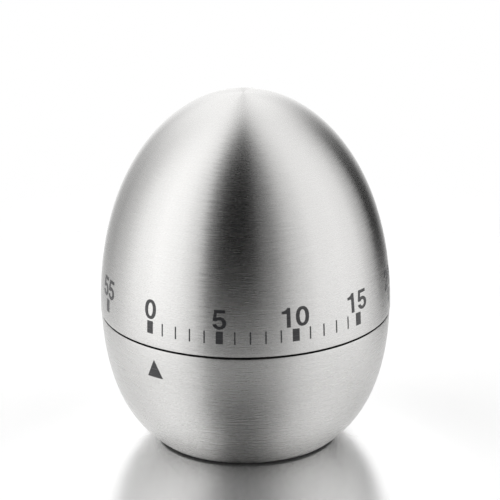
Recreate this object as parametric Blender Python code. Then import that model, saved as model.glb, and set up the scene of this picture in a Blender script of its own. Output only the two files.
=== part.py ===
"""Wind-up kitchen timer in the shape of an egg.

A brushed steel dome turns on a fixed steel bowl. The dome drives a clockwork in the bowl: a mainspring, a
going train with a verge escapement, and a ringing train with a hammer and a bell. The frame is +Z up, with
the origin where the timer stands on the table, and the pointer on the bowl faces -Y. Wheels lie flat, and
every arbor is upright.

Sizes are in millimetres, and become metres where a mesh is made. Heights are measured from a level a little
under the table, and the same step takes that distance off.
"""

import math

import bmesh
import bpy

MM = 0.001
TABLE = 2.4  # height of the table above the level that heights are measured from
GAP = 0.3  # between pieces that lie against each other

# The egg, outside
SEAM_HEIGHT = 30.0
EGG_HALF_LENGTH = 39.8
EGG_CENTRE = SEAM_HEIGHT + 7.2
EGG_WIDTH = 29.87  # half the width where the swell is 1
EGG_SWELL = (1.0, -0.187, 0.279, -0.154, 0.0, -0.1, 0.1)  # how the ellipse swells along its length
SHELL_ROUND = 40  # facets around the steel shells
INNER_ROUND = 32  # facets around the large pieces inside them

# Shells and housings
STEEL = 0.5
PLASTIC = 1.5
DOME_EDGE = SEAM_HEIGHT + 0.55
BOWL_EDGE = SEAM_HEIGHT + 0.05
BOWL_INSET = 0.25  # the bowl is this much inside the dome's line
BOWL_FOOT = TABLE + 0.4
CUP_INSET = BOWL_INSET + STEEL + GAP
CUP_TOP = SEAM_HEIGHT + 0.7
CUP_FLOOR = (4.5, 5.6)
CUP_SOUND_HOLE = 7.0
CARRIER_INSET = STEEL + GAP
CARRIER_RIM = (CUP_TOP + 0.4, 50.0)
CARRIER_WEB = (36.0, 37.6)
HUB = (31.3, 46.2)
HUB_RADIUS = 5.0
BORE = 2.3

# The movement between its two plates
LOWER_PLATE = (15.0, 16.0)
UPPER_PLATE = (27.0, 28.0)
PLATE_RADIUS = 21.9
PIVOT = 0.4
PIVOT_HOLE = 0.65
ARBOR = 2.3
ARBOR_HOLE = ARBOR + GAP
PILLARS = ((19.5, 50), (20.4, 130), (19.5, 215), (19.5, 315))  # distance from the egg's axis, and angle
BOSSES = ((20.8, 0), (20.8, 95), (20.8, 255))
COVER_SCREWS = ((8.6, 90), (8.6, 210), (8.6, 330))
STOP_RADIUS, STOP_PIN_ANGLE, STOP_TAB_ANGLE = 9.0, -38, -45
CAM_RADIUS = 4.5
LEVER_LEVEL = (24.5, 25.1)
FINGER = 4.5  # length of the hammer's locking finger

# Gears, as (teeth, module)
MAIN = (64, 0.35)
SECOND_PINION = (8, 0.35)
SECOND = (48, 0.30)
THIRD_PINION = (8, 0.30)
THIRD = (48, 0.25)
ESCAPE_PINION = (8, 0.25)
RING = (54, 0.40)
STRIKE_PINION = (9, 0.40)

# Pointed wheels, as (teeth, radius, depth of tooth, lean of tooth)
ESCAPE = (20, 4.9, 0.9, 0.45)
STRIKE = (8, 3.7, 1.2, 0.40)
PIN = 0.25  # radius of the pins that work with them
PIN_CLEARANCE = 0.15

# Colour, metallic and roughness of each material
MATERIALS = {
    "brushed_steel": ((0.62, 0.62, 0.61), 1.0, 0.32),
    "plated_steel": ((0.66, 0.66, 0.64), 1.0, 0.28),
    "spring_steel": ((0.34, 0.37, 0.42), 1.0, 0.30),
    "brass": ((0.76, 0.58, 0.27), 1.0, 0.28),
    "black_plastic": ((0.03, 0.03, 0.032), 0.0, 0.48),
    "rubber": ((0.04, 0.04, 0.04), 0.0, 0.85),
}


def clear_scene():
    for obj in list(bpy.data.objects):
        bpy.data.objects.remove(obj)


def material(name):
    found = bpy.data.materials.get(name)
    if found:
        return found
    made = bpy.data.materials.new(name)
    made.use_nodes = True
    shader = made.node_tree.nodes["Principled BSDF"]
    colour, metallic, roughness = MATERIALS[name]
    shader.inputs["Base Color"].default_value = (*colour, 1.0)
    shader.inputs["Metallic"].default_value = metallic
    shader.inputs["Roughness"].default_value = roughness
    return made


# ---- points in plan ----


def polar(radius, degrees):
    angle = math.radians(degrees)
    return radius * math.cos(angle), radius * math.sin(angle)


def plus(a, b):
    return a[0] + b[0], a[1] + b[1]


def minus(a, b):
    return a[0] - b[0], a[1] - b[1]


def heading(start, end):
    """The direction from one point to another, in degrees."""
    across, up = minus(end, start)
    return math.degrees(math.atan2(up, across))


def next_pivot(pivot, distance, from_axis, side):
    """The point at a distance from a pivot and from the egg's axis, on one side (1 or -1) of the pivot."""
    own = math.hypot(*pivot)
    turn = math.acos((own**2 + from_axis**2 - distance**2) / (2 * own * from_axis))
    return polar(from_axis, heading((0, 0), pivot) + side * math.degrees(turn))


def pitch_radius(gear):
    return gear[0] * gear[1] / 2


def spacing(wheel_gear, pinion):
    return pitch_radius(wheel_gear) + pitch_radius(pinion)


# ---- outlines in plan ----


def circle(radius, facets=12, at=(0.0, 0.0)):
    return [plus(at, polar(radius, 360 * i / facets)) for i in range(facets)]


def bar(start, end, width, end_width=None):
    """A straight bar between two points."""
    across = polar(0.5, heading(start, end) + 90)
    near = (across[0] * width, across[1] * width)
    far = (across[0] * (end_width or width), across[1] * (end_width or width))
    return [minus(start, near), minus(end, far), plus(end, far), plus(start, near)]


def gear_outline(gear, phase, addendum=0.8, dedendum=1.2, root=0.62, tip=0.22):
    """Straight-sided teeth. The phase is the direction of one tooth's middle, in degrees."""
    teeth, module = gear
    step = 360 / teeth
    inner = pitch_radius(gear) - dedendum * module
    outer = pitch_radius(gear) + addendum * module
    outline = []
    for i in range(teeth):
        middle = phase + i * step
        outline.append(polar(inner, middle - root * step / 2))
        outline.append(polar(outer, middle - tip * step / 2))
        outline.append(polar(outer, middle + tip * step / 2))
        outline.append(polar(inner, middle + root * step / 2))
    return outline


def pinion_outline(pinion, towards_wheel):
    """Pinion leaves with a space, not a leaf, towards the wheel."""
    return gear_outline(pinion, towards_wheel + 180 / pinion[0], addendum=0.7, tip=0.2)


def pointed_outline(wheel_shape, phase):
    """Pointed teeth that lean one way. The phase is the direction of one tip, in degrees."""
    teeth, radius, depth, lean = wheel_shape
    step = 360 / teeth
    outline = []
    for i in range(teeth):
        tip = phase + i * step
        outline.append(polar(radius, tip))
        outline.append(polar(radius, tip + 1.2))
        outline.append(polar(radius - depth, tip + lean * step))
    return outline


def cam_outline(nose_angle):
    """A round cam with one wide notch, which is under the release lever's nose when the dial is at zero."""
    low, half_notch, slope, steps = 3.3, 27, 6, 20
    start = nose_angle + half_notch + slope
    sweep = 360 - 2 * (half_notch + slope)
    outline = [polar(CAM_RADIUS, start + sweep * i / steps) for i in range(steps + 1)]
    return outline + [polar(low, nose_angle - half_notch + half_notch * i / 2) for i in range(5)]


# ---- the egg's outline ----


def egg_surface(turn):
    """(radius, height) on the egg. Turn runs from 0 at the top to pi at the bottom."""
    u = math.cos(turn)
    swell = sum(factor * u**power for power, factor in enumerate(EGG_SWELL))
    return EGG_WIDTH * math.sin(turn) * math.sqrt(swell), EGG_CENTRE + EGG_HALF_LENGTH * u


def egg_point(turn, inset):
    """(radius, height) on a line inside the egg's surface, the inset away from it."""
    radius, height = egg_surface(turn)
    if turn <= 0:
        return 0.0, height - inset
    step = 1e-4
    out, up = minus(egg_surface(turn + step), egg_surface(turn - step))
    length = math.hypot(out, up)
    return radius + inset * up / length, height - inset * out / length


def egg_turn(height, inset):
    """The turn at which the inset line passes a height, by bisection."""
    low, high = 0.01, math.pi - 0.01
    for _ in range(50):
        middle = (low + high) / 2
        if egg_point(middle, inset)[1] > height:
            low = middle
        else:
            high = middle
    return low


def egg_line(bottom, top, inset, steps):
    """Points from one height up to another. A top of None means the pole."""
    start = egg_turn(bottom, inset)
    end = 0.0 if top is None else egg_turn(top, inset)
    return [egg_point(start + (end - start) * i / steps, inset) for i in range(steps + 1)]


# ---- solids ----


def place(x, y, height):
    """A point in metres, with the table at zero."""
    return x * MM, y * MM, (height - TABLE) * MM


def body_empty(name, at=(0.0, 0.0)):
    """An empty on a body's axis, which the body's pieces are parented to."""
    empty = bpy.data.objects.new(name, None)
    empty.location = (at[0] * MM, at[1] * MM, 0)
    bpy.context.scene.collection.objects.link(empty)
    return empty


def add_object(name, bm, stuff, parent):
    bmesh.ops.recalc_face_normals(bm, faces=bm.faces)
    mesh = bpy.data.meshes.new(name)
    bm.to_mesh(mesh)
    bm.free()
    mesh.shade_smooth()
    mesh.set_sharp_from_angle(angle=math.radians(35))
    mesh.materials.append(material(stuff))
    obj = bpy.data.objects.new(name, mesh)
    obj.parent = parent
    bpy.context.scene.collection.objects.link(obj)
    return obj


def combine(target, other, operation="UNION"):
    """Joins another object to the target, or cuts it away. The other one stays as a hidden helper."""
    modifier = target.modifiers.new(operation.title(), "BOOLEAN")
    modifier.operation = operation
    modifier.solver = "EXACT"
    modifier.object = other
    other.hide_render = True
    other.display_type = "WIRE"
    return target


def turned(name, outline, stuff, parent, facets=10, at=(0.0, 0.0)):
    """A solid of revolution from a closed outline of (radius, height) points."""
    bm = bmesh.new()
    rings = []
    for radius, height in outline:
        plan = circle(radius, facets, at) if radius > 0 else [at]
        rings.append([bm.verts.new(place(x, y, height)) for x, y in plan])
    for low, high in zip(rings, rings[1:] + rings[:1]):
        if len(low) == 1 and len(high) == 1:
            continue
        for i in range(facets):
            j = (i + 1) % facets
            corners = [low[i % len(low)], low[j % len(low)], high[j % len(high)], high[i % len(high)]]
            bm.faces.new(list(dict.fromkeys(corners)))
    return add_object(name, bm, stuff, parent)


def add_prism(bm, outline, bottom, top):
    floors = [[bm.verts.new(place(x, y, z)) for x, y in outline] for z in (bottom, top)]
    for floor in floors:
        bm.faces.new(floor)
    for i in range(len(outline)):
        j = (i + 1) % len(outline)
        bm.faces.new((floors[0][i], floors[0][j], floors[1][j], floors[1][i]))


def prism(name, outline, heights, stuff, parent):
    bm = bmesh.new()
    add_prism(bm, outline, *heights)
    return add_object(name, bm, stuff, parent)


def drill(target, holes, heights, facets=8):
    """Cuts round holes, each (radius, (x, y)), through a piece between two heights."""
    bm = bmesh.new()
    for radius, at in holes:
        add_prism(bm, circle(radius, facets, at), *heights)
    cutter = add_object(target.name + "_drill", bm, "plated_steel", target.parent)
    return combine(target, cutter, "DIFFERENCE")


def wheel(name, outline, heights, hole, windows, stuff, parent):
    """A flat wheel with a centre hole and round windows, each (radius, distance from the centre, count)."""
    radius, distance, count = windows
    holes = [(hole, (0.0, 0.0))]
    holes += [(radius, polar(distance, 360 * i / count)) for i in range(count)]
    blank = prism(name, outline, heights, stuff, parent)
    return drill(blank, holes, (heights[0] - 1, heights[1] + 1))


def staff(name, radius, parent, leaves=None, leaf_heights=None, lower_end=None):
    """A steel arbor with a pivot in each plate, and pinion leaves if an outline is given.

    With a lower end, it runs down through the lower plate to that height instead.
    """
    shoulder, top = UPPER_PLATE[0] - 0.3, UPPER_PLATE[1] - 0.2
    if lower_end is None:
        bottom, ledge = LOWER_PLATE[0] + 0.3, LOWER_PLATE[1] + 0.3
        outline = [(0, bottom), (PIVOT, bottom), (PIVOT, ledge), (radius, ledge)]
    else:
        outline = [(0, lower_end), (radius, lower_end)]
    outline += [(radius, shoulder), (PIVOT, shoulder), (PIVOT, top), (0, top)]
    made = turned(name, outline, "plated_steel", parent)
    if leaves:
        combine(made, prism(name + "_leaves", leaves, leaf_heights, "plated_steel", parent))
    return made


def screw(name, at, crown, seat, end, head_radius, shank_radius, parent):
    """A round-headed screw with a straight slot. Crown is the top of its head, and seat the underside."""
    head = crown - seat
    outline = [(0, end), (shank_radius, end), (shank_radius, seat), (head_radius, seat)]
    outline += [(head_radius, seat + head * 0.6), (head_radius * 0.6, crown), (0, crown)]
    made = turned(name, outline, "plated_steel", parent, facets=8, at=at)
    slot = bar(minus(at, (5, 0)), plus(at, (5, 0)), head_radius * 0.3)
    heights = sorted((crown - head * 0.45, crown + head))
    return combine(made, prism(name + "_slot", slot, heights, "plated_steel", parent), "DIFFERENCE")


# ---- the fixed case ----


def make_bowl(base):
    outline = egg_line(BOWL_FOOT, BOWL_EDGE, BOWL_INSET, 8)
    outline += reversed(egg_line(BOWL_FOOT + 0.3, BOWL_EDGE, BOWL_INSET + STEEL, 6))
    turned("bowl_shell", outline, "brushed_steel", base, facets=SHELL_ROUND)


def make_base_cup(base):
    """The plastic cup that lines the bowl and carries the movement on three bosses."""
    outline = egg_line(CUP_FLOOR[0], CUP_TOP, CUP_INSET, 5)
    outline += reversed(egg_line(CUP_FLOOR[1], CUP_TOP, CUP_INSET + PLASTIC, 4))
    outline += [(CUP_SOUND_HOLE, CUP_FLOOR[1]), (CUP_SOUND_HOLE, CUP_FLOOR[0])]
    cup = turned("base_cup", outline, "black_plastic", base, facets=INNER_ROUND)
    bm = bmesh.new()
    for at in BOSSES:
        add_prism(bm, circle(2.4, 10, polar(*at)), 10.4, LOWER_PLATE[0] - 0.1)
    combine(cup, add_object("cup_bosses", bm, "black_plastic", base))
    drill(cup, [(1.0, polar(*at)) for at in BOSSES], (11.0, 16.0))
    drill(cup, [(1.0, polar(*at)) for at in COVER_SCREWS], (CUP_FLOOR[0] - 1, CUP_FLOOR[1] + 1))


def make_bottom(base):
    """The screwed cover with its sound slots, and the rubber ring that the timer stands on."""
    rim, groove, face, lip, top = 17.2, 14.3, TABLE + 0.6, TABLE + 1.2, TABLE + 1.8
    outline = [(0, face), (groove, face), (groove, lip), (rim, lip), (rim, top), (0, top)]
    cover = turned("bottom_cover", outline, "black_plastic", base, facets=INNER_ROUND)
    bm = bmesh.new()
    for i in range(8):
        add_prism(bm, bar(polar(2.2, i * 45), polar(6.2, i * 45), 1.0, 1.3), TABLE, top + 1)
    combine(cover, add_object("sound_slots", bm, "black_plastic", base), "DIFFERENCE")
    drill(cover, [(0.95, polar(*at)) for at in COVER_SCREWS], (TABLE, top + 1))
    drill(cover, [(2.0, polar(*at)) for at in COVER_SCREWS], (TABLE, lip + 0.1), facets=10)
    for i, at in enumerate(COVER_SCREWS):
        screw(f"cover_screw_{i + 1}", polar(*at), face + 0.05, lip, CUP_FLOOR[1], 1.7, 0.7, base)
    outline = [(14.7, TABLE), (16.5, TABLE), (16.8, TABLE + 0.3), (16.8, lip - 0.2), (14.6, lip - 0.2)]
    turned("foot_ring", outline, "rubber", base, facets=INNER_ROUND)


def make_plates(base, pivots, hammer):
    """The two plates that the movement turns between, with their pillars and screws."""
    lower = prism("lower_plate", circle(PLATE_RADIUS, INNER_ROUND), LOWER_PLATE, "plated_steel", base)
    upper = prism("upper_plate", circle(PLATE_RADIUS, INNER_ROUND), UPPER_PLATE, "plated_steel", base)
    pivot_holes = [(PIVOT_HOLE, at) for at in pivots]
    drill(lower, pivot_holes + [(1.2 + GAP, (0.0, 0.0)), (1.1, hammer)], (14, 17))
    drill(lower, [(1.1, polar(*at)) for at in BOSSES], (14, 17))
    drill(upper, pivot_holes + [(PIVOT_HOLE, hammer), (ARBOR_HOLE, (0.0, 0.0))], (26, 29))
    drill(upper, [(1.1, polar(*at)) for at in PILLARS], (26, 29))
    low, high = LOWER_PLATE[1] + 0.1, UPPER_PLATE[0] - 0.1
    for i, at in enumerate(PILLARS):
        outline = [(0, low), (1.5, low), (1.5, high), (1.0, high), (1.0, high - 3.5), (0, high - 3.5)]
        turned(f"pillar_{i + 1}", outline, "plated_steel", base, at=polar(*at))
        screw(f"plate_screw_{i + 1}", polar(*at), 29.3, 28.1, 24.0, 1.8, 0.75, base)
    for i, at in enumerate(BOSSES):
        screw(f"movement_screw_{i + 1}", polar(*at), 17.2, 16.1, 11.4, 1.9, 0.75, base)


def make_stop_and_stud(base, release):
    """The pin that ends the dial's turn, and the stud under the upper plate for the release lever."""
    low, high = UPPER_PLATE[1] + 0.1, 30.0
    outline = [(0, low), (0.5, low), (0.5, high), (0, high)]
    turned("stop_pin", outline, "plated_steel", base, at=polar(STOP_RADIUS, STOP_PIN_ANGLE))
    outline = [(0, 24.15), (1.5, 24.15), (1.5, 24.4), (0.9, 24.4), (0.9, 26.9), (0, 26.9)]
    turned("lever_stud", outline, "plated_steel", base, at=release)


def make_bell(base):
    """The bell, open upwards, on a post that hangs from the lower plate."""
    floor, rim, wall = 6.0, 13.2, 0.7
    flat, radius, shoulder = 10.0, 17.2, 11.0

    def arc(inset):
        reach, rise = radius - inset - flat, shoulder - floor - inset
        turns = [i * math.pi / 6 for i in range(4)]
        return [(flat + reach * math.sin(t), shoulder - rise * math.cos(t)) for t in turns]

    outline = [(1.4, floor), *arc(0), (radius, rim), (radius - wall, rim)]
    outline += [*reversed(arc(wall)), (1.4, floor + wall)]
    turned("bell", outline, "plated_steel", base, facets=28)
    outline = [(1.3, 6.9), (2.4, 6.9), (2.4, 14.9), (0, 14.9), (0, 10.5), (1.3, 10.5)]
    turned("bell_post", outline, "plated_steel", base)
    screw("bell_screw", (0.0, 0.0), 4.7, 5.9, 10.0, 2.7, 1.0, base)


# ---- what turns with the dome ----


def make_dome(dial):
    outline = egg_line(DOME_EDGE, None, 0, 9) + list(reversed(egg_line(DOME_EDGE, None, STEEL, 7)))
    turned("dome_shell", outline, "brushed_steel", dial, facets=SHELL_ROUND)


def make_carrier(dial):
    """The plastic piece that holds the dome and fits the flat on the main arbor."""
    inner = CARRIER_INSET + PLASTIC
    outline = egg_line(*CARRIER_RIM, CARRIER_INSET, 3)
    outline += reversed(egg_line(CARRIER_WEB[1], CARRIER_RIM[1], inner, 2))
    outline += [(HUB_RADIUS, CARRIER_WEB[1]), (HUB_RADIUS, HUB[1]), (BORE, HUB[1]), (BORE, HUB[0])]
    outline += [(HUB_RADIUS, HUB[0]), (HUB_RADIUS, CARRIER_WEB[0])]
    outline += reversed(egg_line(CARRIER_RIM[0], CARRIER_WEB[0], inner, 1))
    carrier = turned("dome_carrier", outline, "black_plastic", dial, facets=INNER_ROUND)
    bm = bmesh.new()
    for i in range(6):
        angle = 60 * i + 4.5
        add_prism(bm, bar(polar(4.4, angle), polar(27.0, angle), 1.2), CARRIER_WEB[1] - 0.5, 41.0)
    combine(carrier, add_object("carrier_ribs", bm, "black_plastic", dial))
    key = [(1.75, -2.2), (2.9, -2.2), (2.9, 2.2), (1.75, 2.2)]
    combine(carrier, prism("hub_key", key, (36.3, 45.9), "black_plastic", dial))


def make_main_arbor(dial, second, nose_angle):
    """The arbor that the dome turns, with its wheel and clutch spring, the release cam and the stop arm."""
    outline = [(0, 15.2), (1.2, 15.2), (1.2, 16.4), (ARBOR, 16.4)]
    outline += [(ARBOR, 30.6), (2.0, 30.9), (2.0, 45.6), (0, 45.6)]
    arbor = turned("main_arbor", outline, "plated_steel", dial, facets=16)
    flat = [(1.45, -3.0), (3.0, -3.0), (3.0, 3.0), (1.45, 3.0)]
    combine(arbor, prism("arbor_flat", flat, (32.0, 47.0), "plated_steel", dial), "DIFFERENCE")
    teeth = gear_outline(MAIN, heading((0, 0), second))
    wheel("main_wheel", teeth, (22.8, 23.8), ARBOR_HOLE, (2.4, 6.9, 5), "brass", dial)
    fingers = [polar(4.2 + 3.2 * abs(math.cos(math.radians(18 * i))) ** 4, 12 * i) for i in range(30)]
    wheel("clutch_spring", fingers, (22.0, 22.35), ARBOR_HOLE, (0.5, 5.9, 3), "spring_steel", dial)
    cam = prism("release_cam", cam_outline(nose_angle), (24.4, 25.0), "brass", dial)
    drill(cam, [(ARBOR_HOLE, (0.0, 0.0))], (23, 26))
    arm = prism("stop_arm", circle(4.3, 16), (28.5, 29.5), "plated_steel", dial)
    tab = bar((0, 0), polar(STOP_RADIUS + 1, STOP_TAB_ANGLE), 1.0)
    combine(arm, prism("stop_tab", tab, (28.5, 29.5), "plated_steel", dial))
    drill(arm, [(ARBOR_HOLE, (0.0, 0.0))], (27, 31))


# ---- the barrel and the two trains ----


def make_ring_barrel(barrel, strike):
    """The barrel that holds the mainspring. Its teeth drive the ringing train."""
    drum = prism("ring_barrel", gear_outline(RING, heading((0, 0), strike)), (16.6, 17.6), "brass", barrel)
    outline = [(7.6, 17.3), (8.2, 17.3), (8.2, 21.5), (7.6, 21.5)]
    combine(drum, turned("barrel_wall", outline, "brass", barrel, facets=24))
    drill(drum, [(ARBOR_HOLE, (0.0, 0.0))], (16, 18))
    outline = [(ARBOR_HOLE, 20.9), (7.3, 20.9), (7.3, 21.4), (ARBOR_HOLE, 21.4)]
    turned("barrel_cover", outline, "brass", barrel, facets=24)

    coils, inner, outer, thick, steps = 4.5, 2.9, 7.0, 0.25, 63
    inside = []
    outside = []
    for i in range(steps + 1):
        turn = coils * 360 * i / steps
        radius = inner + (outer - inner) * i / steps
        inside.append(polar(radius, turn))
        outside.append(polar(radius + thick, turn))
    prism("mainspring", inside + outside[::-1], (17.9, 20.6), "spring_steel", barrel)


def make_going_train(bodies, second, third, escape):
    """The second, third and escape arbors. Each wheel drives the next arbor's pinion."""
    leaves = pinion_outline(SECOND_PINION, heading(second, (0, 0)))
    staff("second_arbor", 0.9, bodies["second"], leaves, (22.4, 24.2))
    teeth = gear_outline(SECOND, heading(second, third))
    wheel("second_wheel", teeth, (25.2, 26.0), 1.2, (1.6, 4.3, 4), "brass", bodies["second"])

    leaves = pinion_outline(THIRD_PINION, heading(third, second))
    staff("third_arbor", 0.7, bodies["third"], leaves, (24.95, 26.3))
    teeth = gear_outline(THIRD, heading(third, escape))
    wheel("third_wheel", teeth, (24.15, 24.75), 1.0, (1.3, 3.5, 4), "brass", bodies["third"])

    leaves = pinion_outline(ESCAPE_PINION, heading(escape, third))
    staff("escape_arbor", 0.55, bodies["escape"], leaves, (23.9, 25.0))


def pin_span(wheel_shape, steps):
    """Half the angle between two pins, each a quarter step off a tip, at the wheel's centre."""
    return steps * 360 / wheel_shape[0] / 2


def pin_verge(name, parent, wheel_shape, span, wheel_at, staff_at, heights, hole):
    """An anchor on a staff, with two pins that reach down beside the tips of the wheel it works with."""
    plate_low, plate_high, pin_low = heights
    anchor = prism(name, circle(hole + 0.8), (plate_low, plate_high), "plated_steel", parent)
    pin_circle = wheel_shape[1] + PIN + PIN_CLEARANCE
    for side, sign in (("a", 1), ("b", -1)):
        pin_at = plus(wheel_at, polar(pin_circle, heading(wheel_at, staff_at) + sign * span))
        pin = minus(pin_at, staff_at)
        arm = bar((0, 0), pin, 1.5, 0.9)
        combine(anchor, prism(f"{name}_arm_{side}", arm, (plate_low, plate_high), "plated_steel", parent))
        post = circle(PIN, 8, pin)
        combine(anchor, prism(f"{name}_pin_{side}", post, (pin_low, plate_high), "plated_steel", parent))
    return drill(anchor, [(hole, (0.0, 0.0))], (plate_low - 1, plate_high + 1))


def tip_phase(wheel_shape, wheel_at, staff_at, span):
    """Puts both pins a quarter step off the nearest tip."""
    return heading(wheel_at, staff_at) + span + 0.25 * 360 / wheel_shape[0]


def make_escapement(bodies, escape, verge):
    """The escape wheel, and the verge whose balance wheel swings with it."""
    span = pin_span(ESCAPE, 2.5)
    teeth = pointed_outline(ESCAPE, tip_phase(ESCAPE, escape, verge, span))
    wheel("escape_wheel", teeth, (19.0, 19.7), 0.8, (0.8, 2.4, 4), "brass", bodies["escape"])

    staff("verge_staff", 0.6, bodies["verge"])
    pin_verge("verge_anchor", bodies["verge"], ESCAPE, span, escape, verge, (20.1, 20.7, 19.1), 0.8)
    outline = [(3.7, 21.2), (4.6, 21.2), (4.6, 22.2), (3.7, 22.2)]
    rim = turned("balance_wheel", outline, "brass", bodies["verge"], facets=20)
    for i in range(2):
        spoke = bar(polar(4, 90 * i), polar(-4, 90 * i), 0.8)
        combine(rim, prism(f"balance_spoke_{i}", spoke, (21.4, 22.0), "brass", bodies["verge"]))
    combine(rim, prism("balance_hub", circle(1.5), (21.3, 22.1), "brass", bodies["verge"]))
    drill(rim, [(0.8, (0.0, 0.0))], (20, 23))


def make_striking(bodies, strike, hammer, head, release):
    """The star wheel and the hammer that it rocks, from the movement down to the bell."""
    leaves = pinion_outline(STRIKE_PINION, heading(strike, (0, 0)))
    staff("strike_arbor", 0.8, bodies["strike"], leaves, (16.4, 17.9))
    span = pin_span(STRIKE, 1.5)
    teeth = pointed_outline(STRIKE, tip_phase(STRIKE, strike, hammer, span))
    wheel("strike_wheel", teeth, (18.6, 19.4), 1.0, (0.35, 1.75, 4), "brass", bodies["strike"])

    body = bodies["hammer"]
    staff("hammer_staff", 0.7, body, lower_end=9.8)
    pin_verge("hammer_verge", body, STRIKE, span, strike, hammer, (19.8, 20.5, 18.7), 0.95)
    offset = minus(head, hammer)
    arm = prism("hammer_arm", circle(1.7), (10.6, 11.4), "plated_steel", body)
    combine(arm, prism("hammer_bar", bar((0, 0), offset, 1.8, 1.4), (10.6, 11.4), "plated_steel", body))
    combine(arm, prism("hammer_head", circle(1.5, 12, offset), (10.2, 12.8), "plated_steel", body))
    drill(arm, [(0.95, (0.0, 0.0))], (9, 14))
    finger = prism("hammer_finger", circle(1.6), LEVER_LEVEL, "plated_steel", body)
    tip = polar(FINGER, heading(hammer, release))
    combine(finger, prism("finger_bar", bar((0, 0), tip, 1.4, 0.8), LEVER_LEVEL, "plated_steel", body))
    drill(finger, [(0.95, (0.0, 0.0))], (24, 26))


def make_release(body, release, hammer, nose):
    """The lever that rides on the cam. Its tail stands beside the hammer's finger until the nose drops."""
    line = heading(release, hammer)
    tail = plus(polar(math.dist(release, hammer) - FINGER + 1.2, line), polar(1.45, line + 90))
    lever = prism("release_lever", circle(2.1), LEVER_LEVEL, "plated_steel", body)
    combine(lever, prism("lever_tail", bar((0, 0), tail, 2.2, 0.9), LEVER_LEVEL, "plated_steel", body))
    offset = minus(nose, release)
    neck = (offset[0] * 0.93, offset[1] * 0.93 - 1.0)
    combine(lever, prism("lever_arm", bar((0, 0), neck, 2.2, 1.6), LEVER_LEVEL, "plated_steel", body))
    heel = minus(neck, (0, 0.4))
    combine(lever, prism("lever_nose", bar(heel, offset, 1.6, 0.7), LEVER_LEVEL, "plated_steel", body))
    drill(lever, [(1.2, (0.0, 0.0))], (24, 26))


def main():
    clear_scene()
    second = polar(spacing(MAIN, SECOND_PINION), 90)
    third = next_pivot(second, spacing(SECOND, THIRD_PINION), 12.5, 1)
    escape = next_pivot(third, spacing(THIRD, ESCAPE_PINION), 16.0, 1)
    verge = next_pivot(escape, 6.5, 16.5, 1)
    strike = polar(spacing(RING, STRIKE_PINION), -40)
    hammer = next_pivot(strike, 5.5, 13.0, -1)
    head = polar(14.25, heading((0, 0), hammer) + 30)
    release = polar(9.0, 225)
    nose_angle = 275
    nose = polar(CAM_RADIUS + 0.2, nose_angle)
    axes = {
        "base": (0.0, 0.0),
        "dial": (0.0, 0.0),
        "barrel": (0.0, 0.0),
        "second": second,
        "third": third,
        "escape": escape,
        "verge": verge,
        "strike": strike,
        "hammer": hammer,
        "release": release,
    }
    bodies = {name: body_empty(name, at) for name, at in axes.items()}

    make_bowl(bodies["base"])
    make_base_cup(bodies["base"])
    make_bottom(bodies["base"])
    make_plates(bodies["base"], [second, third, escape, verge, strike], hammer)
    make_stop_and_stud(bodies["base"], release)
    make_bell(bodies["base"])
    make_dome(bodies["dial"])
    make_carrier(bodies["dial"])
    make_main_arbor(bodies["dial"], second, nose_angle)
    make_ring_barrel(bodies["barrel"], strike)
    make_going_train(bodies, second, third, escape)
    make_escapement(bodies, escape, verge)
    make_striking(bodies, strike, hammer, head, release)
    make_release(bodies["release"], release, hammer, nose)


main()
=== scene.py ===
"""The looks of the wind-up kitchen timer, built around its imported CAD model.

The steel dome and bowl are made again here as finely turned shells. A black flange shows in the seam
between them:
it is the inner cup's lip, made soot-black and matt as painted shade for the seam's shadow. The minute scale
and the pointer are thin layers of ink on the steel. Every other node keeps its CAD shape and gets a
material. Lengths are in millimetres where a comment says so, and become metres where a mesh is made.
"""

import math

import bmesh
import bpy
from mathutils import Matrix, Vector
from mathutils.geometry import delaunay_2d_cdt


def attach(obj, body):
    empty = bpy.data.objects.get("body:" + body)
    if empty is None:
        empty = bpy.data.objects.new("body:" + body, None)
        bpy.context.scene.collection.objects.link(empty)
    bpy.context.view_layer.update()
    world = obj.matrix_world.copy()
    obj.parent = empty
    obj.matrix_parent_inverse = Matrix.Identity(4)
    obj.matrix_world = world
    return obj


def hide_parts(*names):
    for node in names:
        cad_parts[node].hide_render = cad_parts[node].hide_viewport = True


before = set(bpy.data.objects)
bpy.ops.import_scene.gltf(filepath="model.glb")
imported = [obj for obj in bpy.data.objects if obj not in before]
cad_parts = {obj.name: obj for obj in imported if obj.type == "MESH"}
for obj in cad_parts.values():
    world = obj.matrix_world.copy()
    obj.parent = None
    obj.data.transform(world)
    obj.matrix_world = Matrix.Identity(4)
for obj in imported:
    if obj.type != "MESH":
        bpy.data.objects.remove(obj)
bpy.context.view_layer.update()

MM = 0.001

# The egg, in millimetres. Heights are measured from a level TABLE below the table, as in the CAD.
TABLE = 2.4
SEAM_HEIGHT = 30.0
EGG_HALF_LENGTH = 39.8
EGG_CENTRE = SEAM_HEIGHT + 7.2
EGG_WIDTH = 29.87
EGG_SWELL = (1.0, -0.187, 0.279, -0.154, 0.0, -0.1, 0.1)
STEEL_THICKNESS = 0.5
DOME_EDGE = SEAM_HEIGHT + 0.55
BOWL_EDGE = SEAM_HEIGHT + 0.05
BOWL_FOOT = TABLE + 0.4
EDGE_RADIUS = 0.08
BOWL_INSET = 0.12  # of the bowl's steel inside the egg's outline
FOOT_RISE = 0.3  # of the inner corner over the outer one, at the bowl's foot
# The flange is the cup's lip in the seam. Its near-black matt finish is painted shade for the seam's
# shadow.
FLANGE_HEIGHTS = (BOWL_EDGE, BOWL_EDGE + 0.36)
FLANGE_INSET = 0.05  # inside the bowl's steel
FLANGE_WIDTH = 0.6
SHELL_FACETS = 224
DOME_STEPS = 84
BOWL_STEPS = 56
EDGE_STEPS = 4
HALVINGS = 40  # of the search for a height on the outline

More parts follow.
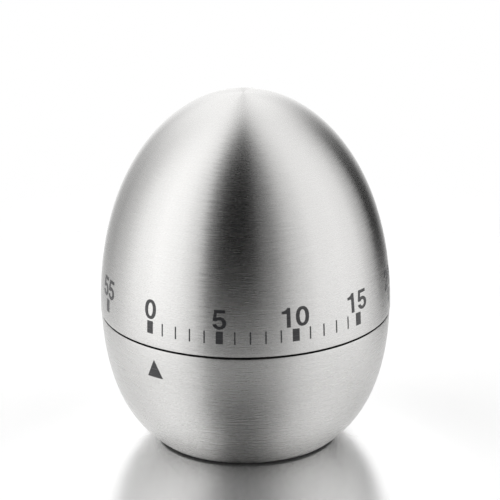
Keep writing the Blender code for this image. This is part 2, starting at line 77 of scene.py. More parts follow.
# The print, in millimetres above the seam, and in degrees round the egg
LAST_MINUTE = 55
NUMBERED_EVERY = 5  # minutes
LAST_TICK = 15  # only the first quarter of the hour is marked minute by minute
MINUTE_STEP = 6.0
ZERO_ANGLE = -90.0
MARK_HEIGHTS = (3.35, 6.0)
BAR_WIDTH = 1.5
TICK_WIDTH = 0.30
NUMBER_HEIGHTS = (6.4, 10.5)
POINTER_ANGLE = -88.7
POINTER_HEIGHTS = (-6.3, -2.4)
POINTER_WIDTH = 4.0
INK_RISE = 0.025
INK_SINK = 0.02
WRAP_STEP = 0.6

# Digits, as parts of their height
DIGIT_WIDTH = 0.71
DIGIT_ADVANCE = 0.79
STEM = 0.20
BEAM = 0.16

# Brushed steel. Lines are (how often they change along, how often across), as noise scales.
STEEL_DARK = (0.628, 0.623, 0.615)
STEEL_LIGHT = (0.684, 0.678, 0.669)
STEEL_ROUGHNESS = (0.26, 0.285)
FINE_LINES = (8.0, 5200.0)
BROAD_LINES = (4.0, 1900.0)
LEANING_LINES = (7.0, 3600.0)
INK_LINES = (6.0, 5200.0)
STEEL_CLOUDS = 60.0
LEAN = 0.03  # of the surface's normal to either side, as a slope
STEEL_BUMP = 0.06
STEEL_GROOVE = 0.00002  # metres
DOME_SLOPE = -1.0
BOWL_SLOPE = 1.0
SMALLEST_RADIUS = 1e-5  # metres, keeps the lines defined at the very top

# The ink
INK_DARK = (0.022, 0.022, 0.025)
INK_LIGHT = (0.050, 0.050, 0.053)
INK_ROUGHNESS = (0.20, 0.30)
INK_SPECULAR = 0.6

# Finishes of the pieces that keep their CAD shape, as (dark, light, roughness)
PLATED_STEEL = ((0.50, 0.50, 0.49), (0.70, 0.70, 0.68), 0.30)
SPRING_STEEL = ((0.16, 0.19, 0.27), (0.36, 0.38, 0.42), 0.30)
BRASS = ((0.62, 0.43, 0.17), (0.82, 0.64, 0.32), 0.28)
METAL_GRAIN = 2600.0
METAL_STRETCH = (0.12, 1.0, 1.0)
METAL_CLOUDS = 240.0

# Moulded finishes, as (dark, light, roughness, scale of the grain, depth of the grain in metres)
BLACK_PLASTIC = ((0.014, 0.014, 0.015), (0.032, 0.032, 0.033), 0.45, 2400.0, 0.00003)
# The inner cup's plastic: real black plastic, darkened further to soot-black as painted shade in the seam.
MATT_PLASTIC_SEAM_SHADE = ((0.003, 0.003, 0.003), (0.006, 0.006, 0.006), 0.85, 2400.0, 0.00003)
RUBBER = ((0.035, 0.035, 0.035), (0.070, 0.070, 0.069), 0.78, 1500.0, 0.00005)
MATT_SPECULAR = 0.05
PLASTIC_CLOUDS = 120.0

# Camera, in degrees and metres, with the lens and the sensor in millimetres
CAMERA_AZIMUTH = 40.3
CAMERA_ELEVATION = 20.6
CAMERA_DISTANCE = 0.860
CAMERA_AIM_HEIGHT = (SEAM_HEIGHT - TABLE) * MM
CAMERA_TURN = -0.073
CAMERA_TILT = 19.80
CAMERA_ROLL = -0.606
CAMERA_LENS = 297.65
CAMERA_SENSOR = 36.0

# Brightness of the studio round the timer, by direction in degrees from the camera, positive to its right
STUDIO = (
    (-180, 1.40),
    (-168, 1.05),
    (-155, 0.50),
    (-138, 0.46),
    (-118, 0.78),
    (-98, 1.30),
    (-75, 1.54),
    (-55, 1.34),
    (-40, 0.86),
    (-30, 0.16),
    (-20, 0.0),
    (-2, 0.0),
    (7, 0.03),
    (24, 0.27),
    (40, 0.77),
    (60, 1.16),
    (85, 1.25),
    (105, 1.14),
    (122, 0.62),
    (136, 0.02),
    (150, 0.03),
    (161, 0.40),
    (171, 0.95),
    (180, 1.40),
)

# The light above and behind the timer: its brightness, and where it starts and is full
OVERHEAD = 1.45
OVERHEAD_FROM = 1.02
OVERHEAD_FULL = 1.42
OVERHEAD_LEFT = 0.1  # how far it leans to the left, where it leans away from the camera by 1
OVERHEAD_SPREAD = 0.15  # how much farther it comes forward at both sides
PANEL_LEAN = 0.15  # how far the panels at the sides lean back over the timer

# The floor, in metres. Pairs of values are for its polished part and for the rest.
FLOOR_RADIUS = 0.20
FLOOR_FACETS = 96
FLOOR_FADE = (0.06, 0.17)  # distances from the axis between which the floor fades out
FLOOR_DARK = (0.90, 0.90, 0.90)
FLOOR_LIGHT = (0.92, 0.92, 0.92)
FLOOR_CLOUDS = 9.0
FLOOR_ROUGHNESS = (0.26, 0.5)
# The floor's glow is painted light. It brightens the floor away from the timer and is absent in front of
# it.
FLOOR_GLOW = (0.0, 0.15)
POLISH = (0.80, 0.10)
POLISH_AHEAD = 0.025  # the middle of the polished part, from the timer's axis toward the camera
POLISH_FADE = (0.026, 0.062)  # distances from its middle between which the polish fades out


# ---- the egg's outline ----


def egg_surface(turn):
    """(radius, height) on the egg. Turn runs from 0 at the top to pi at the bottom."""
    u = math.cos(turn)
    swell = sum(factor * u**power for power, factor in enumerate(EGG_SWELL))
    return EGG_WIDTH * math.sin(turn) * math.sqrt(swell), EGG_CENTRE + EGG_HALF_LENGTH * u


def egg_normal(turn):
    """(out, up) of the surface at a turn, one long."""
    step = 1e-4
    before, after = egg_surface(turn - step), egg_surface(turn + step)
    out, up = before[1] - after[1], after[0] - before[0]
    length = math.hypot(out, up)
    return out / length, up / length


def egg_point(turn, inset):
    """(radius, height) on a line inside the egg's surface, the inset away from it."""
    radius, height = egg_surface(turn)
    if turn <= 0:
        return 0.0, height - inset
    out, up = egg_normal(turn)
    return radius - inset * out, height - inset * up


def egg_turn(height, inset):
    """The turn at which the inset line passes a height, by bisection."""
    low, high = 0.01, math.pi - 0.01
    for _ in range(HALVINGS):
        middle = (low + high) / 2
        if egg_point(middle, inset)[1] > height:
            low = middle
        else:
            high = middle
    return low


def egg_line(bottom, top, inset, steps):
    """Points from one height up to another. A top of None means the pole."""
    start = egg_turn(bottom, inset)
    end = 0.0 if top is None else egg_turn(top, inset)
    return [egg_point(start + (end - start) * i / steps, inset) for i in range(steps + 1)]


def cut_edge(outer, inner, side):
    """The flat edge of a shell, from its outer to its inner side, with softened corners.

    Side is 1 where the edge faces up, and -1 where it faces down.
    """
    across = (Vector(inner) - Vector(outer)).normalized() * EDGE_RADIUS
    along = Vector((across.y, -across.x)) * side
    turns = [math.pi / 2 * i / EDGE_STEPS for i in range(1, EDGE_STEPS + 1)]
    near = [Vector(outer) + across * (1 - math.cos(t)) + along * math.sin(t) for t in turns]
    far = [Vector(inner) - across * (1 - math.cos(t)) + along * math.sin(t) for t in turns]
    return [tuple(point) for point in near + far[::-1]]


# ---- meshes ----


def finish_piece(name, bm, stuff, body, sharp=40):
    """Makes the piece, shades it smooth and hangs it on its body."""
    bmesh.ops.recalc_face_normals(bm, faces=bm.faces)
    mesh = bpy.data.meshes.new(name)
    bm.to_mesh(mesh)
    bm.free()
    mesh.shade_smooth()
    mesh.set_sharp_from_angle(angle=math.radians(sharp))
    mesh.materials.append(stuff)
    piece = bpy.data.objects.new(name, mesh)
    bpy.context.scene.collection.objects.link(piece)
    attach(piece, body)
    return piece


def place(radius, angle, height):
    """A point in metres, with the table at zero."""
    return Vector((radius * math.cos(angle), radius * math.sin(angle), height - TABLE)) * MM


def revolve(outline, facets):
    """A closed solid of revolution from a closed outline of (radius, height) points."""
    bm = bmesh.new()
    rings = []
    for radius, height in outline:
        count = facets if radius > 0 else 1
        turns = [2 * math.pi * i / facets for i in range(count)]
        rings.append([bm.verts.new(place(radius, t, height)) for t in turns])
    for low, high in zip(rings, rings[1:] + rings[:1]):
        if len(low) == 1 and len(high) == 1:
            continue
        for i in range(facets):
            j = (i + 1) % facets
            corners = [low[i % len(low)], low[j % len(low)], high[j % len(high)], high[i % len(high)]]
            bm.faces.new(list(dict.fromkeys(corners)))
    return bm


def make_dome(stuff):
    """The turned steel dome, open below."""
    low = DOME_EDGE + EDGE_RADIUS
    outer = egg_line(low, None, 0, DOME_STEPS)
    inner = egg_line(low, None, STEEL_THICKNESS, DOME_STEPS // 2)
    outline = outer + inner[::-1] + cut_edge(outer[0], inner[0], -1)[::-1]
    dome = finish_piece("dome", revolve(outline, SHELL_FACETS), stuff, "dial")
    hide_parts("dome_shell")


def make_bowl(stuff):
    """The steel bowl, open above and at its foot."""
    low, high = BOWL_FOOT + EDGE_RADIUS, BOWL_EDGE - EDGE_RADIUS
    outer = egg_line(low, high, BOWL_INSET, BOWL_STEPS)
    inner = egg_line(low + FOOT_RISE, high, BOWL_INSET + STEEL_THICKNESS, BOWL_STEPS // 2)
    outline = outer + cut_edge(outer[-1], inner[-1], 1) + inner[::-1]
    outline += cut_edge(outer[0], inner[0], -1)[::-1]
    bowl = finish_piece("bowl", revolve(outline, SHELL_FACETS), stuff, "base")
    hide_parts("bowl_shell")


def make_flange(stuff):
    """The black flange of the inner cup. It covers the bowl's cut edge and shows in the seam, near-black as
    painted shade for the seam's shadow.
    """
    low, high = FLANGE_HEIGHTS[0] + EDGE_RADIUS, FLANGE_HEIGHTS[1] - EDGE_RADIUS
    inset = BOWL_INSET + FLANGE_INSET
    outer = egg_line(low, high, inset, EDGE_STEPS)
    inner = egg_line(low, high, inset + FLANGE_WIDTH, EDGE_STEPS)
    outline = outer + cut_edge(outer[-1], inner[-1], 1) + inner[::-1]
    outline += cut_edge(outer[0], inner[0], -1)[::-1]
    finish_piece("cup_flange_seam_shade", revolve(outline, SHELL_FACETS), stuff, "base")


# ---- the print ----


def oval(middle, half, start, end, steps=18, power=2.0):
    """Points on an oval, from one angle to another in degrees. A power over 2 makes it squarer."""
    points = []
    for i in range(steps + 1):
        angle = math.radians(start + (end - start) * i / steps)
        c, s = math.cos(angle), math.sin(angle)
        across = math.copysign(abs(c) ** (2 / power), c)
        up = math.copysign(abs(s) ** (2 / power), s)
        points.append((middle[0] + half[0] * across, middle[1] + half[1] * up))
    return points


def ring_points(middle, half, power):
    """A closed oval outline, without a doubled first point."""
    return oval(middle, half, 0, 360, 40, power)[:-1]


# Each digit is a list of closed loops in parts of its height, where a loop inside another one is a hole.


def zero():
    middle, half = (DIGIT_WIDTH / 2, 0.5), (DIGIT_WIDTH / 2, 0.5)
    return [ring_points(middle, half, 2.25), ring_points(middle, (half[0] - STEM, half[1] - BEAM), 2.15)]


def one():
    left = 0.25
    right = left + STEM
    flag = oval((left - 0.25, 1.06), (0.30, 0.22), -15, -90, 6)
    return [[(right, 0), (right, 1), *flag, (0, 0.71), (left, 0.71), (left, 0)]]


def two():
    middle, half = (DIGIT_WIDTH / 2, 0.70), (DIGIT_WIDTH / 2, 0.30)
    inner = (half[0] - STEM, half[1] - BEAM)
    outer_side = oval(middle, half, 180, -42)
    inner_side = oval(middle, inner, -38, 180, 14)
    foot = [(0.30, BEAM), (DIGIT_WIDTH, BEAM), (DIGIT_WIDTH, 0), (0, 0), (0.02, 0.12), (0.09, 0.24)]
    return [outer_side + foot + inner_side]


def three():
    upper, upper_half = (DIGIT_WIDTH / 2, 0.735), (DIGIT_WIDTH / 2 - 0.02, 0.265)
    lower, lower_half = (DIGIT_WIDTH / 2, 0.29), (DIGIT_WIDTH / 2, 0.29)
    outline = oval(upper, upper_half, 172, -38)
    outline += oval(lower, lower_half, 46, -172)
    outline += oval(lower, (lower_half[0] - STEM, lower_half[1] - BEAM), -168, 88)
    outline += [(0.27, 0.435), (0.27, 0.57)]
    outline += oval(upper, (upper_half[0] - STEM, upper_half[1] - BEAM), -88, 168)
    return [outline]


def four():
    stem_left, bar_low, bar_high = 0.41, 0.225, 0.36
    stem_right = stem_left + STEM
    outline = [(stem_left, 0), (stem_right, 0), (stem_right, bar_low), (DIGIT_WIDTH, bar_low)]
    outline += [(DIGIT_WIDTH, bar_high), (stem_right, bar_high), (stem_right, 1), (0.39, 1)]
    outline += [(0, 0.385), (0, bar_low), (stem_left, bar_low)]
    return [outline, [(stem_left, bar_high), (0.135, bar_high), (stem_left, 0.77)]]


def five():
    middle, half = (DIGIT_WIDTH / 2, 0.325), (DIGIT_WIDTH / 2, 0.325)
    outline = [(0.10, 1), (0.65, 1), (0.65, 1 - BEAM), (0.235, 1 - BEAM), (0.205, 0.61)]
    outline += oval(middle, half, 112, -168)
    outline += oval(middle, (half[0] - STEM, half[1] - BEAM), -165, 138)
    return [outline + [(0.19, 0.42), (0.02, 0.44)]]


DIGITS = {"0": zero, "1": one, "2": two, "3": three, "4": four, "5": five}
DIGIT_LEFT = {"1": 0.10}
DIGIT_LEFT_USUAL = (DIGIT_ADVANCE - DIGIT_WIDTH) / 2


def number_loops(number):
    """The loops of a number's digits, centred on its ink, as parts of a digit's height."""
    loops = []
    for i, digit in enumerate(str(number)):
        left = i * DIGIT_ADVANCE + DIGIT_LEFT.get(digit, DIGIT_LEFT_USUAL)
        loops.append([[(x + left, y) for x, y in loop] for loop in DIGITS[digit]()])
    across = [x for digit in loops for loop in digit for x, _ in loop]
    middle = (min(across) + max(across)) / 2
    return [[[(x - middle, y) for x, y in loop] for loop in digit] for digit in loops]


def inside(point, loops):
    """Whether a point is inside the loops, where a loop inside another one is a hole."""
    crossings = 0
    for loop in loops:
        for a, b in zip(loop, loop[1:] + loop[:1]):
            if (a[1] > point.y) != (b[1] > point.y):
                across = a[0] + (point.y - a[1]) * (b[0] - a[0]) / (b[1] - a[1])
                crossings += across > point.x
    return crossings % 2 == 1


def fill(bm, loops):
    """Fills the loops in the flat with triangles."""
    points, edges = [], []
    for loop in loops:
        first = len(points)
        points += [Vector(p) for p in loop]
        edges += [(first + i, first + (i + 1) % len(loop)) for i in range(len(loop))]
    places, _, triangles, *_ = delaunay_2d_cdt(points, edges, [], 0, 1e-6)
    verts = [bm.verts.new((p.x, p.y, 0)) for p in places]
    for triangle in triangles:
        middle = sum((places[i] for i in triangle), Vector((0, 0))) / 3
        if inside(middle, loops):
            bm.faces.new([verts[i] for i in triangle])
    bmesh.ops.delete(bm, geom=[v for v in bm.verts if not v.link_faces], context="VERTS")


def slice_up(bm, axis, low, high):
    """Cuts the flat mesh across an axis every wrapping step, so that it can follow the curved steel."""
    normal = Vector((1, 0, 0)) if axis == 0 else Vector((0, 1, 0))
    for i in range(1, math.ceil((high - low) / WRAP_STEP)):
        everything = list(bm.verts) + list(bm.edges) + list(bm.faces)
        cut = normal * (low + i * WRAP_STEP)
        bmesh.ops.bisect_plane(bm, geom=everything, plane_co=cut, plane_no=normal)


def surface_place(degrees, height, inset):
    """A place on the egg, in metres."""
    radius, level = egg_point(egg_turn(height, inset), inset)
    return place(radius, math.radians(degrees), level)


def wrap(bm, degrees, inset):
    """Wraps a flat shape onto the egg as a thin closed layer.

    The shape is in millimetres, across and up from the seam.
    """
    across = [v.co.x for v in bm.verts]
    up = [v.co.y for v in bm.verts]
    slice_up(bm, 0, min(across), max(across))
    slice_up(bm, 1, min(up), max(up))
    faces = list(bm.faces)
    grown = bmesh.ops.extrude_face_region(bm, geom=faces)["geom"]
    upper = {v for v in grown if isinstance(v, bmesh.types.BMVert)}
    bmesh.ops.reverse_faces(bm, faces=faces)
    girth = egg_point(egg_turn(SEAM_HEIGHT, inset), inset)[0]
    for v in bm.verts:
        lift = INK_RISE if v in upper else -INK_SINK
        angle = degrees + math.degrees(v.co.x / girth)
        v.co = surface_place(angle, SEAM_HEIGHT + v.co.y, inset - lift)
    return bm


def add_to(target, bm):
    """Moves one bmesh into another."""
    mesh = bpy.data.meshes.new("part")
    bm.to_mesh(mesh)
    bm.free()
    target.from_mesh(mesh)
    bpy.data.meshes.remove(mesh)


def box_loop(width, heights):
    """An upright rectangle, centred across."""
    half = width / 2
    return [(-half, heights[0]), (half, heights[0]), (half, heights[1]), (-half, heights[1])]


def make_marks(name, minutes, width, stuff):
    """One upright stroke for each minute, all in one piece."""
    whole = bmesh.new()
    for minute in minutes:
        bm = bmesh.new()
        fill(bm, [box_loop(width, MARK_HEIGHTS)])
        add_to(whole, wrap(bm, ZERO_ANGLE + minute * MINUTE_STEP, 0))
    finish_piece(name, whole, stuff, "dial", sharp=60)


def make_numbers(numbers, stuff):
    """The numbers over their bars, all in one piece."""
    low, high = NUMBER_HEIGHTS
    size = high - low
    whole = bmesh.new()
    for number in numbers:
        bm = bmesh.new()
        for loops in number_loops(number):
            fill(bm, [[(x * size, low + y * size) for x, y in loop] for loop in loops])
        add_to(whole, wrap(bm, ZERO_ANGLE + number * MINUTE_STEP, 0))
    finish_piece("minute_numbers", whole, stuff, "dial", sharp=60)


def make_pointer(stuff):
    """The triangle on the bowl that the scale is read against."""
    low, high = POINTER_HEIGHTS
    half = POINTER_WIDTH / 2
    bm = bmesh.new()
    fill(bm, [[(-half, low), (half, low), (0, high)]])
    finish_piece("pointer", wrap(bm, POINTER_ANGLE, BOWL_INSET), stuff, "base", sharp=60)


# ---- materials ----


class Graph:
    """Short calls that add nodes to one node tree."""

    def __init__(self, tree):
        self.tree = tree

    def put(self, socket, value):
        if isinstance(value, bpy.types.NodeSocket):
            self.tree.links.new(value, socket)
        else:
            socket.default_value = value

    def add(self, kind, inputs=None, **settings):
        made = self.tree.nodes.new("ShaderNode" + kind)
        for name, value in settings.items():
            setattr(made, name, value)
        for name, value in (inputs or {}).items():
            self.put(made.inputs[name], value)
        return made

    def math(self, operation, a, b=0.0):
        return self.add("Math", {0: a, 1: b}, operation=operation).outputs[0]

    def spread(self, value, low, high, source=(0.0, 1.0)):
        """Maps a value from a source range to low..high."""
        return self.map_range(value, source, (low, high), "LINEAR")

    def ease(self, value, source, target):
        """Maps a value from a source range to a target range, with soft ends."""
        return self.map_range(value, source, target, "SMOOTHSTEP")

    def map_range(self, value, source, target, kind):
        made = self.add("MapRange", {"Value": value}, interpolation_type=kind)
        for name, limit in zip(("From Min", "From Max", "To Min", "To Max"), (*source, *target)):
            self.put(made.inputs[name], limit)
        return made.outputs["Result"]

    def noise(self, vector, scale, detail=2.0, roughness=0.5):
        inputs = {"Vector": vector, "Scale": scale, "Detail": detail, "Roughness": roughness}
        return self.add("TexNoise", inputs).outputs["Fac"]

    def between(self, factor, first, second):
        """A colour between two colours."""
        colour_inputs = {0: factor, 6: (*first, 1.0), 7: (*second, 1.0)}
        return self.add("Mix", colour_inputs, data_type="RGBA").outputs[2]

    def bump(self, height, strength, distance, normal=None):
        made = self.add("Bump", {"Height": height, "Strength": strength, "Distance": distance})
        if normal:
            self.put(made.inputs["Normal"], normal)
        return made.outputs["Normal"]


def new_material(name):
    """A material with a Principled shader, as (material, its graph, the shader)."""
    made = bpy.data.materials.new(name)
    made.use_nodes = True
    return made, Graph(made.node_tree), made.node_tree.nodes["Principled BSDF"]


def turned_lines(graph, slope, along, across):
    """A vector that stretches noise into lines around the Z axis.

    Slope is -1 on the dome and 1 on the bowl. With that, height plus slope times radius changes all the way
    along the steel, also where it lies flat.
    """
    spot = graph.add("TexCoord").outputs["Object"]
    x, y, z = graph.add("SeparateXYZ", {0: spot}).outputs
    squares = graph.math("ADD", graph.math("MULTIPLY", x, x), graph.math("MULTIPLY", y, y))
    radius = graph.math("SQRT", squares)
    safe = graph.math("MAXIMUM", radius, SMALLEST_RADIUS)
    level = graph.math("ADD", z, graph.math("MULTIPLY", radius, slope))
    parts = {
        0: graph.math("MULTIPLY", graph.math("DIVIDE", x, safe), along),
        1: graph.math("MULTIPLY", graph.math("DIVIDE", y, safe), along),
        2: graph.math("MULTIPLY", level, across),
    }
    return graph.add("CombineXYZ", parts).outputs[0]


def brushed_steel(name, slope):
    """Stainless steel brushed while it turned, so light smears up and down across the fine lines round it.

    The lines also lean a little to either side, which frays the edges of what the steel reflects.
    """
    stuff, graph, shader = new_material(name)
    fine = graph.noise(turned_lines(graph, slope, *FINE_LINES), 1.0, 2.0, 0.65)
    broad = graph.noise(turned_lines(graph, slope, *BROAD_LINES), 1.0, 2.0, 0.5)
    cloud = graph.noise(graph.add("TexCoord").outputs["Object"], STEEL_CLOUDS, 3.0, 0.5)
    lines = graph.math("ADD", graph.math("MULTIPLY", fine, 0.65), graph.math("MULTIPLY", broad, 0.35))
    shade = graph.math("ADD", graph.math("MULTIPLY", lines, 0.8), graph.math("MULTIPLY", cloud, 0.2))
    colour = graph.between(graph.spread(shade, 0, 1, (0.25, 0.75)), STEEL_DARK, STEEL_LIGHT)
    graph.put(shader.inputs["Base Color"], colour)
    graph.put(shader.inputs["Roughness"], graph.spread(lines, *STEEL_ROUGHNESS, (0.25, 0.75)))
    shader.inputs["Metallic"].default_value = 1.0
    shader.inputs["Anisotropic"].default_value = 1.0
    shader.inputs["Anisotropic Rotation"].default_value = 0.25
    graph.put(shader.inputs["Tangent"], graph.add("Tangent", direction_type="RADIAL", axis="Z").outputs[0])
    leaning = lean(graph, graph.noise(turned_lines(graph, slope, *LEANING_LINES), 1.0, 2.0, 0.6))
    graph.put(shader.inputs["Normal"], graph.bump(lines, STEEL_BUMP, STEEL_GROOVE, leaning))
    return stuff


def lean(graph, factor):
    """The surface's normal, leaning round the Z axis by as much as the factor is off a half."""
    x, y, _ = graph.add("SeparateXYZ", {0: graph.add("TexCoord").outputs["Object"]}).outputs
    around = graph.add("CombineXYZ", {0: graph.math("MULTIPLY", y, -1.0), 1: x}).outputs[0]
    turned = graph.add(
        "VectorTransform", {0: around}, vector_type="NORMAL", convert_from="OBJECT", convert_to="WORLD"
    ).outputs[0]
    amount = graph.spread(factor, -LEAN, LEAN)
    push = graph.add("VectorMath", {0: turned, "Scale": amount}, operation="SCALE").outputs[0]
    normal = graph.add("NewGeometry").outputs["Normal"]
    total = graph.add("VectorMath", {0: normal, 1: push}, operation="ADD").outputs[0]
    return graph.add("VectorMath", {0: total}, operation="NORMALIZE").outputs[0]


def worked_metal(name, dark, light, roughness):
    """Stamped or turned metal inside the timer: fine drawn grain, cloudy patches and a few rubbed spots."""
    stuff, graph, shader = new_material(name)
    spot = graph.add("TexCoord").outputs["Object"]
    stretched = graph.add("Mapping", {"Vector": spot, "Scale": METAL_STRETCH}).outputs[0]
    lines = graph.noise(stretched, METAL_GRAIN, 2.0, 0.6)
    cloud = graph.noise(spot, METAL_CLOUDS, 3.0, 0.6)
    blend = graph.math("ADD", graph.math("MULTIPLY", lines, 0.5), graph.math("MULTIPLY", cloud, 0.5))
    colour = graph.between(graph.spread(blend, 0, 1, (0.3, 0.7)), dark, light)
    graph.put(shader.inputs["Base Color"], colour)
    rubbed = graph.spread(cloud, roughness - 0.07, roughness + 0.09, (0.3, 0.7))
    graph.put(shader.inputs["Roughness"], rubbed)
    shader.inputs["Metallic"].default_value = 1.0
    graph.put(shader.inputs["Normal"], graph.bump(lines, 0.3, 0.00001))
    return stuff


def moulded(name, dark, light, roughness, grain, depth):
    """Moulded plastic or rubber, with the fine spark-eroded grain of its mould and a little dust."""
    stuff, graph, shader = new_material(name)
    spot = graph.add("TexCoord").outputs["Object"]
    pits = graph.noise(spot, grain, 3.0, 0.6)
    cloud = graph.noise(spot, PLASTIC_CLOUDS, 3.0, 0.55)
    colour = graph.between(graph.spread(cloud, 0, 1, (0.35, 0.7)), dark, light)
    graph.put(shader.inputs["Base Color"], colour)
    pitted = graph.spread(pits, roughness - 0.08, roughness + 0.08, (0.3, 0.7))
    graph.put(shader.inputs["Roughness"], pitted)
    graph.put(shader.inputs["Normal"], graph.bump(pits, 0.4, depth))
    return stuff


def ink():
    """Charcoal print. It is thinner over the ridges of the brushed steel, and shines when seen edge on."""
    stuff, graph, shader = new_material("printed_ink")
    lines = graph.noise(turned_lines(graph, DOME_SLOPE, *INK_LINES), 1.0, 2.0, 0.6)
    colour = graph.between(graph.spread(lines, 0, 1, (0.35, 0.8)), INK_DARK, INK_LIGHT)
    graph.put(shader.inputs["Base Color"], colour)
    graph.put(shader.inputs["Roughness"], graph.spread(lines, *INK_ROUGHNESS, (0.3, 0.7)))
    graph.put(shader.inputs["Normal"], graph.bump(lines, 0.15, 0.00001))
    shader.inputs["Specular IOR Level"].default_value = INK_SPECULAR
    return stuff


def matt_plastic():
    """The inner cup's black plastic, made soot-black and hardly shining as painted shade for the seam's
    shadow.
    """
    stuff = moulded("cup_finish_seam_shade", *MATT_PLASTIC_SEAM_SHADE)
    stuff.node_tree.nodes["Principled BSDF"].inputs["Specular IOR Level"].default_value = MATT_SPECULAR
    return stuff


def dress_cad(cup_plastic_seam_shade):
    """Gives every node that keeps its CAD shape a material by the name of the one that it came with."""
    finishes = {
        "plated_steel": worked_metal("plated_steel_finish", *PLATED_STEEL),
        "spring_steel": worked_metal("spring_steel_finish", *SPRING_STEEL),
        "brass": worked_metal("brass_finish", *BRASS),
        "black_plastic": moulded("black_plastic_finish", *BLACK_PLASTIC),
        "rubber": moulded("rubber_finish", *RUBBER),
    }
    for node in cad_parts.values():
        for slot in node.material_slots:
            name = slot.material.name.split(".")[0]
            if name in finishes:
                slot.material = finishes[name]
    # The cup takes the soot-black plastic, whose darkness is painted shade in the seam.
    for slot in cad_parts["base_cup"].material_slots:
        slot.material = cup_plastic_seam_shade


# ---- the studio ----


def make_floor():
    """A pale sheet, polished in front of the timer and glowing softly elsewhere with painted light, that
    fades into the white.
    """
    stuff, graph, shader = new_material("floor_sheet")
    spot = graph.add("TexCoord").outputs["Object"]
    cloud = graph.noise(spot, FLOOR_CLOUDS, 2.0, 0.5)
    graph.put(shader.inputs["Base Color"], graph.between(cloud, FLOOR_DARK, FLOOR_LIGHT))
    turn = math.radians(CAMERA_AZIMUTH)
    polish_centre = Vector((math.sin(turn), -math.cos(turn), 0)) * POLISH_AHEAD
    near = graph.add("VectorMath", {0: spot, 1: polish_centre}, operation="DISTANCE").outputs["Value"]
    graph.put(shader.inputs["Metallic"], graph.ease(near, POLISH_FADE, POLISH))
    graph.put(shader.inputs["Roughness"], graph.ease(near, POLISH_FADE, FLOOR_ROUGHNESS))
    # painted light: the floor glows away from its polished part
    shader.inputs["Emission Color"].default_value = (1.0, 1.0, 1.0, 1.0)
    graph.put(shader.inputs["Emission Strength"], graph.ease(near, POLISH_FADE, FLOOR_GLOW))
    distance = graph.add("VectorMath", {0: spot}, operation="LENGTH").outputs["Value"]
    fade = graph.ease(distance, FLOOR_FADE, (0.0, 1.0))
    clear = graph.add("BsdfTransparent").outputs[0]
    mixed = graph.add("MixShader", {0: fade, 1: shader.outputs[0], 2: clear}).outputs[0]
    graph.put(stuff.node_tree.nodes["Material Output"].inputs["Surface"], mixed)
    bm = bmesh.new()
    bmesh.ops.create_circle(bm, cap_ends=True, segments=FLOOR_FACETS, radius=FLOOR_RADIUS)
    mesh = bpy.data.meshes.new("floor")
    bm.to_mesh(mesh)
    bm.free()
    mesh.materials.append(stuff)
    floor = bpy.data.objects.new("floor", mesh)
    bpy.context.scene.collection.objects.link(floor)


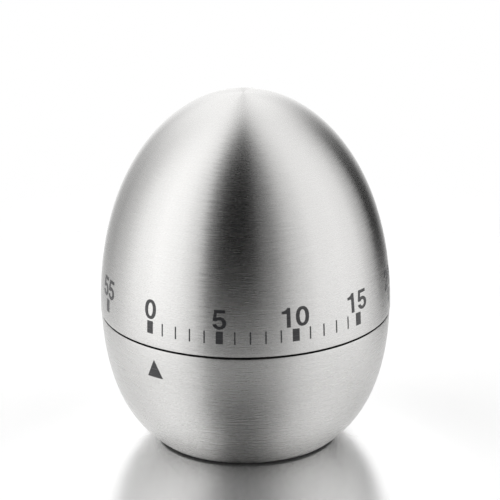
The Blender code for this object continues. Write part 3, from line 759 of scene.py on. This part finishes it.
def make_studio():
    """Soft white panels on both sides, a gap where the camera stands, and soft light from above and behind.

    The camera itself sees plain white.
    """
    world = bpy.data.worlds.new("studio")
    bpy.context.scene.world = world
    world.use_nodes = True
    graph = Graph(world.node_tree)
    toward = graph.add("TexCoord").outputs["Generated"]
    x, y, z = graph.add("SeparateXYZ", {0: toward}).outputs
    turn = math.radians(CAMERA_AZIMUTH)
    ahead = graph.math(
        "SUBTRACT", graph.math("MULTIPLY", x, math.sin(turn)), graph.math("MULTIPLY", y, math.cos(turn))
    )
    right = graph.math(
        "ADD", graph.math("MULTIPLY", x, math.cos(turn)), graph.math("MULTIPLY", y, math.sin(turn))
    )
    front = graph.math("ADD", ahead, graph.math("MULTIPLY", graph.math("MAXIMUM", z, 0.0), PANEL_LEAN))
    angle = graph.math("ARCTAN2", right, front)
    ramp = graph.add("ValToRGB", {0: graph.spread(angle, 0, 1, (-math.pi, math.pi))})
    brightest = max(value for _, value in STUDIO)
    stops = ramp.color_ramp.elements
    for i, (degrees, value) in enumerate(STUDIO):
        along = (degrees + 180) / 360
        stop = stops[i] if i < len(stops) else stops.new(along)
        stop.position = along
        stop.color = (*[value / brightest] * 3, 1.0)
    sides = graph.math("MULTIPLY", ramp.outputs[0], brightest)
    aside = graph.math("MULTIPLY", graph.math("ABSOLUTE", right), OVERHEAD_SPREAD)
    shift = graph.math("SUBTRACT", aside, graph.math("MULTIPLY", right, OVERHEAD_LEFT))
    lift = graph.math("ADD", graph.math("SUBTRACT", z, ahead), shift)
    above = graph.ease(lift, (OVERHEAD_FROM, OVERHEAD_FULL), (0.0, 1.0))
    light = graph.add("Mix", {0: above, 2: sides, 3: OVERHEAD}, data_type="FLOAT").outputs[0]
    seen = graph.add("LightPath").outputs["Is Camera Ray"]
    strength = graph.add("Mix", {0: seen, 2: light, 3: 1.0}, data_type="FLOAT").outputs[0]
    background = world.node_tree.nodes["Background"]
    background.inputs["Color"].default_value = (1.0, 1.0, 1.0, 1.0)
    graph.put(background.inputs["Strength"], strength)
    bpy.context.scene.view_settings.view_transform = "Standard"


def make_camera():
    """The camera in front of the timer, a little above it, turned a touch off the aim to frame it."""
    camera = bpy.data.objects.new("camera", bpy.data.cameras.new("camera"))
    camera.data.sensor_width = CAMERA_SENSOR
    camera.data.lens = CAMERA_LENS
    elevation = math.radians(CAMERA_ELEVATION)
    back = Vector((0, -math.cos(elevation), math.sin(elevation))) * CAMERA_DISTANCE
    around = Matrix.Rotation(math.radians(CAMERA_AZIMUTH), 3, "Z")
    heading = Matrix.Rotation(math.radians(CAMERA_AZIMUTH + CAMERA_TURN), 3, "Z")
    tilt = Matrix.Rotation(math.radians(90 - CAMERA_TILT), 3, "X")
    roll = Matrix.Rotation(math.radians(CAMERA_ROLL), 3, "Z")
    camera.location = around @ back + Vector((0, 0, CAMERA_AIM_HEIGHT))
    camera.rotation_euler = (heading @ tilt @ roll).to_euler()
    bpy.context.scene.collection.objects.link(camera)
    bpy.context.scene.camera = camera


def main():
    make_camera()
    make_studio()
    make_floor()
    # the cup's black plastic, darkened as painted shade for the seam
    cup_plastic_seam_shade = matt_plastic()
    dress_cad(cup_plastic_seam_shade)
    make_dome(brushed_steel("dome_steel", DOME_SLOPE))
    make_bowl(brushed_steel("bowl_steel", BOWL_SLOPE))
    make_flange(cup_plastic_seam_shade)
    print_ink = ink()
    numbered = range(0, LAST_MINUTE + 1, NUMBERED_EVERY)
    make_marks("minute_bars", numbered, BAR_WIDTH, print_ink)
    make_marks("minute_ticks", [m for m in range(LAST_TICK) if m not in numbered], TICK_WIDTH, print_ink)
    make_numbers(numbered, print_ink)
    make_pointer(print_ink)


main()
